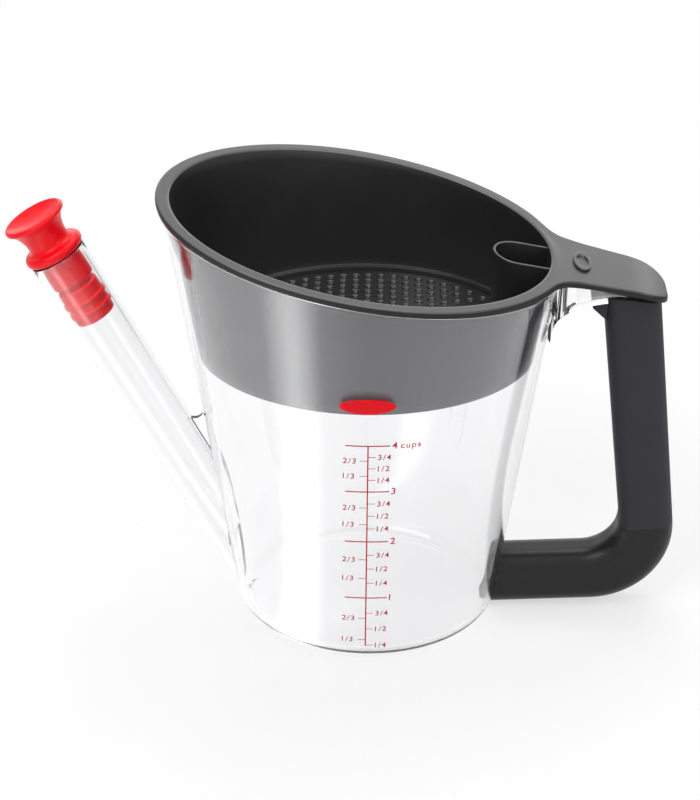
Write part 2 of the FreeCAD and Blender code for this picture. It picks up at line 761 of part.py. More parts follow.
# ---- pieces ---------------------------------------------------------------------------
PIECES = {
    "clear_jug": make_jug,
    "strainer_basket": make_strainer,
    "straining_floor": make_straining_floor,
    "spout_stopper": make_stopper,
    "handle_core": make_handle_core,
    "soft_grip": make_grip,
    "handle_screw": make_screw,
}

os.makedirs("parts", exist_ok=True)
for name, make in PIECES.items():
    make().exportStep(f"parts/{name}.step")
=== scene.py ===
import json
import math

import bmesh
import bpy
import numpy as np
from mathutils import Matrix, Vector

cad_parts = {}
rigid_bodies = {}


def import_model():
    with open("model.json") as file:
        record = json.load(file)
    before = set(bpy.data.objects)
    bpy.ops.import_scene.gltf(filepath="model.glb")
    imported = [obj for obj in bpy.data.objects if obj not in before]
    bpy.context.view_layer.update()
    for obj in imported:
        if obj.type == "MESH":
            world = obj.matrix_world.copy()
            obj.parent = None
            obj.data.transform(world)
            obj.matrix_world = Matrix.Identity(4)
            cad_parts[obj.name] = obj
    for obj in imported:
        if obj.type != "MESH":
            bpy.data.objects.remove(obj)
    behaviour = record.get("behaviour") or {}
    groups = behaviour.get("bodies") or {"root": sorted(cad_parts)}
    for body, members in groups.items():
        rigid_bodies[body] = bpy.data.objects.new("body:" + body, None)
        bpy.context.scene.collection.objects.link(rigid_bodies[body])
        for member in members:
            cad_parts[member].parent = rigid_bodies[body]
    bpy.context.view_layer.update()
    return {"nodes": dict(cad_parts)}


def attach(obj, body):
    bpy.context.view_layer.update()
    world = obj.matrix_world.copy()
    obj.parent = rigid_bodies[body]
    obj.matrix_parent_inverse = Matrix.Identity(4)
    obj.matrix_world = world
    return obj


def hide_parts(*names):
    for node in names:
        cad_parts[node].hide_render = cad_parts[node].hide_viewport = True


for left_over in list(bpy.data.objects):
    bpy.data.objects.remove(left_over)
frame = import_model()
nodes = frame["nodes"]
MM = 0.001

# ---- sizes that the new pieces share with the solids, in millimetres --------------------
# Cup: half axes at the table, how far each side leans out per millimetre of height, and what
# follows for the oval's centre and its half length.
BASE = (51.0, 46.0)
SPOUT_SIDE, HANDLE_SIDE, FLANK = (math.tan(math.radians(draft)) for draft in (8.7, 7.35, 6.45))
DRIFT, WIDENING = (HANDLE_SIDE - SPOUT_SIDE) / 2, (HANDLE_SIDE + SPOUT_SIDE) / 2
CUP_WALL, CUP_FLOOR, FOOT_RADIUS, INNER_FOOT_RADIUS = 2.0, 2.6, 8.4, 5.4

# Mouth: height of the strainer's top at the origin and its fall per millimetre. Lip: how far it
# and the jug's flange stand out of the wall, its thickness and its gap to the flange. LIP is
# its thickness straight down.
MOUTH_TILT = math.radians(9.6)
RIM, RIM_FALL = 166.0, math.tan(MOUTH_TILT)
LIP_REACH, LIP_THICKNESS, SEAT_GAP, FLANGE_THICKNESS = 1.6, 2.2, 0.1, 1.8
LIP = LIP_THICKNESS / math.cos(MOUTH_TILT)

# Tab: where its slope starts, where and how it bends down, and where it ends.
TAB_START, TAB_BEND, TAB_BEND_RADIUS, TAB_END = 62.0, 96.0, 46.0, 111.0
TAB_SLOPE = math.radians(12.3)
TAB_THICKNESS = 2.0

# Strainer: heights of its foot and of its rim's highest point, and how far it stays off the
# jug's outer oval there. Its wall, the ledge inside its foot, and the pitches of its holes.
FOOT_Z, TOP_Z = 117.6, 174.63
FOOT_INSET, TOP_INSET = 3.2, 2.3
BASKET_WALL, LEDGE = 1.3, 2.7
HOLE_PITCH = (5.0, 4.5)

# Chimney: half its width, the middle of its round nose, and its top's depth below the lip's.
CHIMNEY_HALF, CHIMNEY_NOSE, CHIMNEY_DROP = 9.4, 54.6, 1.2

# Spout: its axis, its outer radii at both ends, its wall and the top of its opening. Web in
# the crotch of spout and cup: its radius and half its thickness.
SPOUT_ANGLE = math.radians(62.15)
SPOUT_FOOT, SPOUT_LENGTH = -37.6, 152.0 / math.sin(SPOUT_ANGLE)
SPOUT_RADII, SPOUT_WALL, OUTLET_TOP = (9.5, 10.9), 1.9, 28.0
SPOUT_DRAFT = (SPOUT_RADII[1] - SPOUT_RADII[0]) / SPOUT_LENGTH
WEB_RADIUS, WEB_HALF = 4.2, 1.0

# Bracket and handle: the grip's domed top, the bracket's end, half its width, its wall, the
# depths of its underside and its floor in the crown, and its gap to the tab. The stub in the arm.
CROWN, CROWN_RADIUS = (94.0, 93.94), 47.0
BRACKET_END, BRACKET_HALF, BRACKET_WALL = 106.14, 6.75, 2.0
BRACKET_LOW, BRACKET_FLOOR, BRACKET_GAP = 2.6, 0.6, 0.4
ARM_RISE, STUB_AXES, STUB_WALL = math.radians(3.4), (7.5, 6.5), 2.0

# Print: how far its back and its face stand out of the wall.
PRINT_LOW, PRINT_HIGH = 0.02, 0.08

AROUND = 384  # points of a large oval


def turns(count):
    """Angles of a full turn from 0, with no repeat."""
    return np.arange(count) * 2 * math.pi / count


def oval(z, offset, angle):
    """Point of the jug's oval at height z, grown by offset: the centre and both half axes are
    straight functions of z, and the point lies at the cosine and sine of the angle."""
    x = z * DRIFT + (BASE[0] + z * WIDENING + offset) * np.cos(angle)
    y = (BASE[1] + z * FLANK + offset) * np.sin(angle)
    return np.stack(np.broadcast_arrays(x, y, z), -1)


def oval_below_mouth(depth, offset, angle):
    """The same at a depth below the mouth's tilted plane: z = rim - depth - fall * x, and x is
    a straight function of z, so one linear equation gives z."""
    reach = (BASE[0] + offset) * np.cos(angle)
    growth = DRIFT + WIDENING * np.cos(angle)
    return oval((RIM - depth - RIM_FALL * reach) / (1 + RIM_FALL * growth), offset, angle)


def tab_line(x, depth=0.0):
    """Height of the strainer's top at x, moved in by depth: the lower of the mouth's plane and
    the tab's line, which is a straight slope and then a circle tangent to it."""
    start = RIM - RIM_FALL * TAB_START
    slope = start - (x - TAB_START) * math.tan(TAB_SLOPE) - depth / math.cos(TAB_SLOPE)
    middle_x = TAB_BEND - TAB_BEND_RADIUS * math.sin(TAB_SLOPE)
    bend_z = start - (TAB_BEND - TAB_START) * math.tan(TAB_SLOPE)
    middle_z = bend_z - TAB_BEND_RADIUS * math.cos(TAB_SLOPE)
    droop = middle_z + np.sqrt(np.maximum((TAB_BEND_RADIUS - depth) ** 2 - (x - middle_x) ** 2, 0.0))
    tab = np.where(x > TAB_BEND, droop, slope)
    return np.minimum(RIM - RIM_FALL * x - depth * LIP / LIP_THICKNESS, tab)


def arc(middle, radius, start, stop, count=7):
    """Points of a circle between two angles in degrees, as an array of pairs."""
    angle = np.radians(np.linspace(start, stop, count))
    return np.stack([middle[0] + radius * np.cos(angle), middle[1] + radius * np.sin(angle)], -1)


def rounded(corners, count=12):
    """A closed outline through corners (u, v, radius): at each corner the circle of that radius
    that touches both sides."""
    spots = np.array([corner[:2] for corner in corners])
    pieces = []
    for (u, v, radius), before, after in zip(corners, np.roll(spots, 1, 0), np.roll(spots, -1, 0)):
        here = np.array([u, v])
        if not radius:
            pieces.append(here[None])
            continue
        to_before = (before - here) / np.linalg.norm(before - here)
        to_after = (after - here) / np.linalg.norm(after - here)
        half = math.acos(np.clip(to_before @ to_after, -1, 1)) / 2
        middle = (to_before + to_after) / np.linalg.norm(to_before + to_after)
        centre = here + middle * radius / math.sin(half)
        first = here + to_before * radius / math.tan(half) - centre
        last = here + to_after * radius / math.tan(half) - centre
        swing = math.pi - 2 * half
        share = np.linspace(0, 1, count)[:, None]
        turned = first * np.sin((1 - share) * swing) + last * np.sin(share * swing)
        pieces.append(centre + turned / math.sin(swing))
    return np.concatenate(pieces)


# ---- meshes ----------------------------------------------------------------------------
def skin(name, points, along=False):
    """A closed mesh from rows of points in millimetres. Each row closes on itself, and the last
    row joins the first, or else both end rows are closed by a fan to their middle."""
    rows, columns = points.shape[:2]
    index = np.arange(rows * columns).reshape(rows, columns)
    index = np.concatenate([index, index[:, :1]], 1)
    spots = points.reshape(-1, 3)
    if along:
        index = np.concatenate([index, index[:1]])
    faces = np.stack([index[:-1, :-1], index[:-1, 1:], index[1:, 1:], index[1:, :-1]], -1)
    faces = faces.reshape(-1, 4).tolist()
    if not along:
        middle = np.full(columns, rows * columns)
        faces += np.stack([index[0, 1:], index[0, :-1], middle], -1).tolist()
        faces += np.stack([index[-1, :-1], index[-1, 1:], middle + 1], -1).tolist()
        spots = np.concatenate([spots, points[[0, -1]].mean(1)])
    return mesh_piece(name, spots, faces)


def mesh_piece(name, spots, faces):
    """An object from points in millimetres and faces: doubles merged, faces outward."""
    mesh = bpy.data.meshes.new(name)
    mesh.from_pydata((np.asarray(spots) * MM).tolist(), [], faces)
    work = bmesh.new()
    work.from_mesh(mesh)
    bmesh.ops.remove_doubles(work, verts=work.verts, dist=1e-7)
    if work.calc_volume(signed=True) < 0:
        bmesh.ops.reverse_faces(work, faces=work.faces)
    work.to_mesh(mesh)
    work.free()
    piece = bpy.data.objects.new(name, mesh)
    bpy.context.scene.collection.objects.link(piece)
    return piece


def shade(piece):
    """Smooth shading that keeps edges above 32 degrees sharp."""
    piece.data.shade_smooth()
    piece.data.set_sharp_from_angle(angle=math.radians(32))
    return piece


def carve(piece, operation, tools):
    """Joins the tools to a piece, or cuts them out of it, and removes the tools."""
    for tool in tools:
        step = piece.modifiers.new("carve", "BOOLEAN")
        step.operation = operation
        step.solver = "MANIFOLD"
        step.object = tool
        shaped = piece.evaluated_get(bpy.context.evaluated_depsgraph_get())
        made = bpy.data.meshes.new_from_object(shaped)
        piece.modifiers.clear()
        piece.data = made
        bpy.data.objects.remove(tool)
    return piece


def joined(name, pieces):
    """Several pieces as one mesh."""
    whole = bmesh.new()
    for piece in pieces:
        whole.from_mesh(piece.data)
        bpy.data.objects.remove(piece)
    bmesh.ops.remove_doubles(whole, verts=whole.verts, dist=1e-7)
    mesh = bpy.data.meshes.new(name)
    whole.to_mesh(mesh)
    whole.free()
    made = bpy.data.objects.new(name, mesh)
    bpy.context.scene.collection.objects.link(made)
    return made


# ---- jug -------------------------------------------------------------------------------
def foot_arc(radius, floor):
    """Rows (offset, height) of the rounding between a floor and the leaning wall: a circle that
    touches both, its offset counted from the wall at the same height."""
    lean = (SPOUT_SIDE + HANDLE_SIDE + 2 * FLANK) / 4
    middle = ((floor + radius) * lean - radius * math.hypot(1, lean), floor + radius)
    rows = arc(middle, radius, -90, -math.degrees(math.atan(lean)), 14)
    rows[:, 0] -= rows[:, 1] * lean
    return rows


def cup_form(name, offset, floor, foot, edge_rows):
    """The cup's tapered oval body: a rounded foot, a straight wall, then rows (offset, depth
    below the mouth) to its top. With an offset of 0 it's the outside, which stays under the
    tab."""
    angle = turns(AROUND)
    low = np.array([oval(height, offset + grown, angle) for grown, height in foot_arc(foot, floor)])
    high = np.array([oval_below_mouth(depth, offset + grown, angle) for grown, depth in edge_rows])
    share = np.linspace(0, 1, 16)[1:-1, None, None]
    points = np.concatenate([low, low[-1] + (high[0] - low[-1]) * share, high])
    if offset == 0:
        under_tab = tab_line(points[..., 0], TAB_THICKNESS + SEAT_GAP)
        points[..., 2] = np.minimum(points[..., 2], under_tab)
    return skin(name, points)


def solid_cup(name):
    """The cup with no hollow, with its flange: concave below it and rounded at its edges."""
    top, under = LIP + SEAT_GAP, LIP + SEAT_GAP + FLANGE_THICKNESS
    inner, outer = 0.5, 0.35
    edge = np.concatenate([
        arc((inner, under + inner), inner, 180, 270, 5),
        arc((LIP_REACH - outer, under - outer), outer, 90, 0, 5),
        arc((LIP_REACH - outer, top + outer), outer, 0, -90, 5),
    ])
    return cup_form(name, 0.0, 0.0, FOOT_RADIUS, edge)


def outside_cup(piece):
    """What is left of a piece outside the solid cup."""
    return carve(piece, "DIFFERENCE", [solid_cup("cup_room")])


def spout_form(name, inset, foot_height, past_mouth=0.0, edge=0.0, level_top=None):
    """The spout's round body moved in by inset: a cone about the slanted axis whose lower end is
    cut level, so each line of the cone starts where its height is foot_height. It ends past the
    mouth with an edge of that radius, or else level at level_top."""
    angle = turns(192)
    rise = math.sin(SPOUT_ANGLE)
    lift = np.cos(angle) * math.cos(SPOUT_ANGLE)
    near = SPOUT_RADII[0] - inset
    start = (foot_height - near * lift) / (rise + SPOUT_DRAFT * lift)
    end = SPOUT_LENGTH + past_mouth + 0 * start
    if level_top:
        end = (level_top - near * lift) / (rise + SPOUT_DRAFT * lift)
    share = np.linspace(0, 1, 40)[:, None]
    along = start + (end - edge - start) * share
    radius = near + along * SPOUT_DRAFT
    if edge:
        bend = np.radians(np.linspace(0, 90, 5))[1:, None]
        along = np.concatenate([along, end - edge + edge * np.sin(bend)])
        radius = np.concatenate([radius, radius[-1] - edge + edge * np.cos(bend)])
    x = SPOUT_FOOT - along * math.cos(SPOUT_ANGLE) + radius * np.cos(angle) * rise
    y = radius * np.sin(angle)
    z = along * rise + radius * lift
    return skin(name, np.stack([x, y, z], -1))


def beam(name, x, half_width, low, high):
    """A body along X whose cross-section at each x is a rectangle with rounded corners, from
    -half_width to half_width and from low to high."""
    edge = 0.4
    quarter = np.radians([0, 30, 60, 90])
    turn = np.concatenate([quarter + k * math.pi / 2 for k in range(4)])
    side = np.repeat([1, -1, -1, 1], 4)
    upper = np.repeat([1, 1, -1, -1], 4)
    y = side * (half_width[:, None] - edge) + edge * np.cos(turn)
    z = (low + high)[:, None] / 2 + upper * ((high - low)[:, None] / 2 - edge) + edge * np.sin(turn)
    return skin(name, np.stack(np.broadcast_arrays(x[:, None], y, z), -1))


def rod(name, start, way, across, outline):
    """A straight body: an outline of pairs (along across, along Y), moved from start by way."""
    ring = np.outer(outline[:, 0], across) + np.outer(outline[:, 1], (0, 1, 0))
    return skin(name, np.array([start + ring, np.add(start, way) + ring]))


def crown(x, depth):
    """Height at x of the handle's domed top, a circle in side view, moved in by depth."""
    return CROWN[1] + np.sqrt((CROWN_RADIUS - depth) ** 2 - (x - CROWN[0]) ** 2)


def bracket_width(x, inset):
    """Half width of the bracket at x, moved in by inset: a flare that is a circle at the cup,
    straight sides, and a circle at each corner of its end."""
    half, flare_end = BRACKET_HALF - inset, 75.4
    flare, end_round = 8.0 + inset, 4.5 - inset
    into_flare = np.clip(flare_end - x, 0, flare)
    into_end = np.clip(x - (BRACKET_END - inset - end_round), 0, end_round)
    widened = flare - np.sqrt(flare**2 - into_flare**2)
    return half + widened - end_round + np.sqrt(end_round**2 - into_end**2)


def bracket_low(x):
    """Underside of the bracket: the crown's circle, and near the cup a circle that touches both
    the crown's circle and the wall."""
    middle_x, middle_z, radius, touching_x = 75.2, 125.1, 8.0, 71.07
    fillet = middle_z + np.sqrt(np.maximum(radius**2 - (x - middle_x) ** 2, 0.0))
    return np.where(x < touching_x, fillet, crown(x, BRACKET_LOW))


def slab(name, outline, half_width):
    """A plate of the middle plane: an outline of pairs (x, z), from -half_width to half_width
    along Y, with a flat face on either side."""
    count = len(outline)
    spots = [(x, side * half_width, z) for side in (-1, 1) for x, z in outline]
    faces = [(k, (k + 1) % count, (k + 1) % count + count, k + count) for k in range(count)]
    sides = [tuple(range(count - 1, -1, -1)), tuple(range(count, 2 * count))]
    return mesh_piece(name, spots, faces + sides)


def make_web():
    """Fills the narrow corner above the joint of spout and jug: a wedge between both lines,
    ended by a circle that touches them."""
    wall = np.array([-SPOUT_SIDE, 1.0]) / math.hypot(1, SPOUT_SIDE)
    lean = SPOUT_ANGLE - math.atan(SPOUT_DRAFT)
    spout = np.array([-math.cos(lean), math.sin(lean)])
    start = SPOUT_RADII[0] * np.array([math.sin(SPOUT_ANGLE), math.cos(SPOUT_ANGLE)])
    start = start + (SPOUT_FOOT, 0)
    gap = np.array([-BASE[0], 0.0]) - start
    along = (gap[0] * wall[1] - gap[1] * wall[0]) / (spout[0] * wall[1] - spout[1] * wall[0])
    corner = start + spout * along
    middle = (wall + spout) / np.linalg.norm(wall + spout)
    half = math.acos(wall @ spout) / 2
    centre = corner + middle * WEB_RADIUS / math.sin(half)
    turned = math.degrees(math.atan2(*middle[::-1]))
    spread = 90 - math.degrees(half)
    bend = arc(centre, WEB_RADIUS, turned + 180 - spread, turned + 180 + spread, 16)
    outline = np.concatenate([bend, [corner - middle * 2 * WEB_RADIUS]])
    return slab("web", outline, WEB_HALF)


def stub_form(name, inset):
    """Oval stub inside the handle's arm: an ellipse carried along the arm's centre line."""
    turn = turns(48)
    outline = (np.array(STUB_AXES) - inset) * np.stack([np.cos(turn), np.sin(turn)], -1)
    start, length = (44.35, 0, 11.78), 17.4
    way = np.array([math.cos(ARM_RISE), 0, math.sin(ARM_RISE)])
    across = (-math.sin(ARM_RISE), 0, math.cos(ARM_RISE))
    return rod(name, start, way * length, across, outline)


def make_jug():
    """The clear jug: cup, spout, web, bracket and stub joined, then the hollows cut out."""
    bore = outside_cup(spout_form("bore", SPOUT_WALL, CUP_FLOOR, past_mouth=1.0))
    outlet = spout_form("outlet", SPOUT_WALL, CUP_FLOOR, level_top=OUTLET_TOP)
    past_mouth = [(0.0, -20.0)]
    cavity = cup_form("cavity", -CUP_WALL, CUP_FLOOR, INNER_FOOT_RADIUS, past_mouth)
    spout = spout_form("spout", inset=0.0, foot_height=1.6, edge=0.35)

    ranges = ((66.2, 76, 28), (77, 101, 20), (101.7, 106.1, 14))
    x = np.concatenate([np.linspace(*each) for each in ranges])
    top = tab_line(x, TAB_THICKNESS + BRACKET_GAP)
    bracket = beam("bracket", x, bracket_width(x, 0), bracket_low(x), top)
    ranges = ((76.7, 101.7, 24), (101.8, 104.1, 12))
    x = np.concatenate([np.linspace(*each) for each in ranges])
    low, high = crown(x, BRACKET_FLOOR), crown(x, 0) + 30
    pocket = beam("pocket", x, bracket_width(x, BRACKET_WALL), low, high)

    stub_hollow = outside_cup(stub_form("stub_hollow", STUB_WALL))
    added = [spout, make_web(), bracket, stub_form("stub", 0.0)]
    jug = carve(solid_cup("jug_shell"), "UNION", added)
    return carve(jug, "DIFFERENCE", [cavity, bore, outlet, outside_cup(pocket), stub_hollow])


# ---- strainer --------------------------------------------------------------------------
def basket(inset, angle, depth=None, height=None):
    """Point of the strainer's tapered body moved in by inset, at a depth below the mouth or at
    a height: on the straight line between the foot's oval and the rim's oval."""
    low = oval(FOOT_Z, -FOOT_INSET - inset, angle)
    high = oval(TOP_Z, -TOP_INSET - inset, angle)
    rise = high - low
    if depth is None:
        share = (height - low[..., 2]) / rise[..., 2]
    else:
        missing = RIM - depth - RIM_FALL * low[..., 0] - low[..., 2]
        share = missing / (rise[..., 2] + RIM_FALL * rise[..., 0])
    return low + rise * share[..., None]


def lip_outline():
    """The outline of lip and tab seen from above, the matching angles of the oval and the
    outward directions: the oval outside the tab's root angle, the tab within it."""
    root = math.radians(27.5)
    half = [(40, 20, 0), (63.99, 29.98, 0), (70.88, 18.4, 14), (TAB_END, 13.6, 11)]
    tab = rounded(half + [(x, -y, radius) for x, y, radius in half[::-1]], 24)[2:-2]
    run = np.concatenate([[0], np.cumsum(np.linalg.norm(np.diff(tab, axis=0), axis=1))])
    tab_count, ring_count = 193, 322
    step = np.linspace(0, run[-1], tab_count)
    tab = np.stack([np.interp(step, run, tab[:, k]) for k in (0, 1)], -1)[::-1]
    tab_angle = np.linspace(-root, root, tab_count)
    angle = np.linspace(root, 2 * math.pi - root, ring_count)[1:-1]
    ring = oval_below_mouth(LIP_THICKNESS / 2, LIP_REACH, angle)[:, :2]
    outline = np.concatenate([tab, ring])
    angle = np.concatenate([tab_angle, angle])
    way = np.roll(outline, -1, 0) - np.roll(outline, 1, 0)
    out = np.stack([way[:, 1], -way[:, 0]], -1)
    return outline, angle, out / np.linalg.norm(out, axis=1)[:, None]


def make_strainer():
    """Strainer without its chimney: rows up the inner wall, over the lip and the tab, round
    their edge, back under them and down the outer wall to the foot, where the rows close."""
    outline, angle, out = lip_outline()

    def edge(inset, depth):
        """A row that follows the outline, moved in, below the top surface."""
        plan = outline - out * inset
        return np.column_stack([plan, tab_line(plan[:, 0], depth)])

    def foot_rows(steps):
        """Rows at (inset, height above the foot)."""
        return [basket(inset, angle, height=FOOT_Z + height) for inset, height in steps]

    def straight(stop, count):
        """Rows that follow the last one in a straight line to a row."""
        start = rows[-1]
        return [start + (stop - start) * share for share in np.linspace(0, 1, count)[1:]]

    def on_top_line(new_rows, depth):
        """Rows laid onto the top's line moved in by depth."""
        return [np.column_stack([row[:, :2], tab_line(row[:, 0], depth)]) for row in new_rows]

    wall, thick = BASKET_WALL, LIP_THICKNESS
    top_round, low_round, mouth_round, mouth_fall = 0.9, 0.45, 1.2, 0.5
    rows = foot_rows([
        (LEDGE, 0.4), (LEDGE, 4.1), (LEDGE - 0.1, 4.32), (LEDGE - 0.3, 4.4),
        (wall + 0.4, 4.4), (wall + 0.12, 4.52), (wall, 4.8),
    ])
    rows += straight(basket(wall, angle, depth=mouth_fall), 14)
    for turn in np.radians(np.linspace(0, 90, 9))[1:]:
        inset = wall - mouth_round + mouth_round * math.cos(turn)
        rows.append(basket(inset, angle, depth=mouth_fall - mouth_fall * math.sin(turn)))
    rows += on_top_line(straight(edge(top_round, 0.0), 22), 0.0)
    upper = arc((top_round, top_round), top_round, 270, 180, 8)[1:]
    lower = arc((low_round, thick - low_round), low_round, 180, 90, 5)
    rows += [edge(inset, depth) for inset, depth in np.concatenate([upper, lower])]
    rows += on_top_line(straight(basket(-0.4, angle, depth=thick), 12), thick)
    rows += [basket(-0.12, angle, depth=thick + 0.12), basket(0.0, angle, depth=thick + 0.4)]
    rows += straight(basket(0.0, angle, height=FOOT_Z + 0.5), 14)
    rows += foot_rows([(0.15, 0.15), (0.5, 0.0), (LEDGE - 0.4, 0.0), (LEDGE - 0.1, 0.1)])
    return skin("strainer_body", np.array(rows), along=True)


def make_chimney():
    """Vent chimney: a wall with a rounded top, carried along a U in plan whose two ends lie
    inside the basket's wall. Where an end lies depends on its height, and that on its place,
    so three rounds settle both."""
    wall_half, edge, floor_z, deep = 0.5, 0.3, FOOT_Z + 0.7, 40.0
    middle = CHIMNEY_HALF - wall_half
    turn = np.radians(np.linspace(90, 270, 49))
    nose = np.stack([CHIMNEY_NOSE + middle * np.cos(turn), middle * np.sin(turn), 0 * turn], -1)
    straight = np.linspace(1, 0, 9)[:-1]
    share = np.concatenate([straight, 0 * turn, straight[::-1]])[:, None]
    first, last = (np.tile(end, (len(straight), 1)) for end in (nose[0], nose[-1]))
    path = np.concatenate([first, nose, last])
    out = np.stack([path[:, 0] - CHIMNEY_NOSE, path[:, 1]], -1) / middle
    ring = np.concatenate([
        [(wall_half, -deep)],
        arc((wall_half - edge, -edge), edge, 0, 90, 4),
        arc((edge - wall_half, -edge), edge, 90, 180, 4),
        [(-wall_half, -deep)],
    ])
    points = np.zeros((len(path), len(ring), 3))
    points[..., :2] = path[:, None, :2] + out[:, None] * ring[:, 0, None]
    for _ in range(3):
        top = RIM - CHIMNEY_DROP - RIM_FALL * points[..., 0]
        height = points[..., 2] = np.maximum(top + ring[:, 1], floor_z)
        inset = FOOT_INSET + 0.7 - (height - FOOT_Z) * 0.9 / 57
        half_length, half_width = BASE[0] + height * WIDENING, BASE[1] + height * FLANK
        across = points[..., 1] / (half_width - inset)
        end_x = height * DRIFT + (half_length - inset) * np.sqrt(1 - across**2)
        straight_x = CHIMNEY_NOSE + share * (end_x - CHIMNEY_NOSE)
        points[..., 0] = np.where(share > 0, straight_x, points[..., 0])
    return skin("chimney", points)


def make_boss():
    """Low oval boss on the tab with a dished top, left bare: a profile of (share of the half
    axes, height) turned about the boss's middle."""
    turn = turns(96)
    edge, middle_x, half_length, half_width = 0.12, 78.6, 3.5, 7.6
    profile = np.concatenate([
        [(1.0, -0.8)],
        arc((1 - edge, 0.7), edge, 0, 90, 6),
        arc((0.9 - edge, 0.7), edge, 90, 180, 5),
        [(0.62, 0.12), (0.45, 0.06), (0.2, 0.04)],
    ])
    along = profile[:, :1] * half_length * np.cos(turn)
    across = profile[:, :1] * half_width * np.sin(turn)
    up = profile[:, 1:]
    x = middle_x + along * math.cos(TAB_SLOPE) + up * math.sin(TAB_SLOPE)
    z = tab_line(middle_x) - along * math.sin(TAB_SLOPE) + up * math.cos(TAB_SLOPE)
    return skin("boss", np.stack([x, across, z], -1))


def hole_places():
    """Centres of the drain holes, on ovals inside each other, with room for the chimney."""
    margin, (pitch_x, pitch_y) = 9.5, HOLE_PITCH
    half_length = BASE[0] + FOOT_Z * WIDENING - margin
    half_width = BASE[1] + FOOT_Z * FLANK - margin
    centre, chimney_from, chimney_to = FOOT_Z * DRIFT, 42.85, 11.75
    places = []
    for ring in range(int(half_width / pitch_y) + 1):
        length, width = half_length - ring * pitch_y, half_width - ring * pitch_y
        steps = int(half_length / pitch_x)
        x = np.arange(-steps, steps + 1) * pitch_x
        x = x[np.abs(x) < length]
        y = width * np.sqrt(1 - (x / length) ** 2)
        keep = (y >= pitch_y / 2) & ~((centre + x > chimney_from) & (y < chimney_to))
        kept = zip(x[keep], y[keep])
        places += [(centre + px, side * py) for px, py in kept for side in (-1, 1)]
    return np.array(places)


def countersunk_holes(low, high):
    """The drain holes as one mesh: a profile of (radius, height) turned about each place."""
    radius, level = np.transpose([
        (1.1, low - 1), (1.1, high - 0.5), (1.3, high - 0.3), (1.75, high - 0.05), (1.95, high + 0.2),
    ])
    turn, places = turns(16), hole_places()
    points = np.zeros((len(places), len(radius), len(turn), 3))
    points[..., 0] = places[:, 0, None, None] + radius[:, None] * np.cos(turn)
    points[..., 1] = places[:, 1, None, None] + radius[:, None] * np.sin(turn)
    points[..., 2] = level[:, None]
    index = np.arange(len(places) * len(radius) * len(turn)).reshape(points.shape[:3])
    after = np.roll(index, -1, 2)
    walls = np.stack([index[:, :-1], after[:, :-1], after[:, 1:], index[:, 1:]], -1)
    faces = walls.reshape(-1, 4).tolist() + index[:, 0, ::-1].tolist() + index[:, -1].tolist()
    return mesh_piece("holes", points.reshape(-1, 3), faces)


def make_floor_plate():
    """The straining floor: an oval plate with countersunk round holes, open under the
    chimney."""
    low, high, gap = FOOT_Z + 0.6, FOOT_Z + 2.2, 0.02
    plate = [basket(LEDGE + gap, turns(AROUND), height=level) for level in (low, high)]
    near_x, far_x, half = 45.2, 90, CHIMNEY_HALF + gap
    room = rounded([
        (near_x, -half, CHIMNEY_HALF), (far_x, -half, 0),
        (far_x, half, 0), (near_x, half, CHIMNEY_HALF),
    ], 24)
    vent = [np.column_stack([room, np.full(len(room), level)]) for level in (low - 3, high + 3)]
    holes = countersunk_holes(low, high)
    plate = skin("plate", np.array(plate))
    return carve(plate, "DIFFERENCE", [holes, skin("vent", np.array(vent))])


# ---- printed scale and badge -----------------------------------------------------------
def on_front(across, height, proud):
    """Points proud of the front wall's outer face at x across and a height."""
    half_length = BASE[0] + height * WIDENING + proud
    half_width = BASE[1] + height * FLANK + proud
    share = (across - height * DRIFT) / half_length
    return np.stack(np.broadcast_arrays(across, -half_width * np.sqrt(1 - share**2), height), -1)


def printed_line(name, x_low, x_high, z_low, z_high, columns=2):
    """A thin printed bar on the wall, between two x and two heights."""
    x = np.linspace(x_low, x_high, columns)
    ring = ((z_low, PRINT_LOW), (z_high, PRINT_LOW), (z_high, PRINT_HIGH), (z_low, PRINT_HIGH))
    return skin(name, np.stack([on_front(x, z, proud) for z, proud in ring], 1))


def printed_words(name, words, x, z, height):
    """Words or numbers on the wall whose first letter starts at x and stands at height z: flat
    letters as a mesh, bent onto the wall."""
    text = bpy.data.curves.new(name, "FONT")
    text.body = words
    text.size = height * 1.42  # a digit is 0.7 of the size high
    text.extrude = 0.5
    text.shear = 0.06
    text.offset = 0.012 * height
    text.space_character = 1.2
    flat = bpy.data.objects.new(name, text)
    bpy.context.scene.collection.objects.link(flat)
    shaped = flat.evaluated_get(bpy.context.evaluated_depsgraph_get())
    mesh = bpy.data.meshes.new_from_object(shaped)
    bpy.data.objects.remove(flat)
    spots = np.zeros(len(mesh.vertices) * 3)
    mesh.vertices.foreach_get("co", spots)
    spots = spots.reshape(-1, 3)
    proud = np.where(spots[:, 2] > 0, PRINT_HIGH, PRINT_LOW)
    placed = on_front(x + spots[:, 0] - spots[:, 0].min(), z + spots[:, 1], proud) * MM
    mesh.vertices.foreach_set("co", placed.ravel())
    piece = bpy.data.objects.new(name, mesh)
    bpy.context.scene.collection.objects.link(piece)
    return piece


def mark_height(cups):
    """Height of the liquid's surface at a volume in cups: a cubic of the steps above the first
    cup, from its height there and its first three differences. The steps grow smaller because
    the jug grows wider."""
    steps = cups - 1.0
    bend = steps * (steps - 1.0) / 2
    return 32.5 + 27.8 * steps - 4.0 * bend + 1.3 * bend * (steps - 2.0) / 3


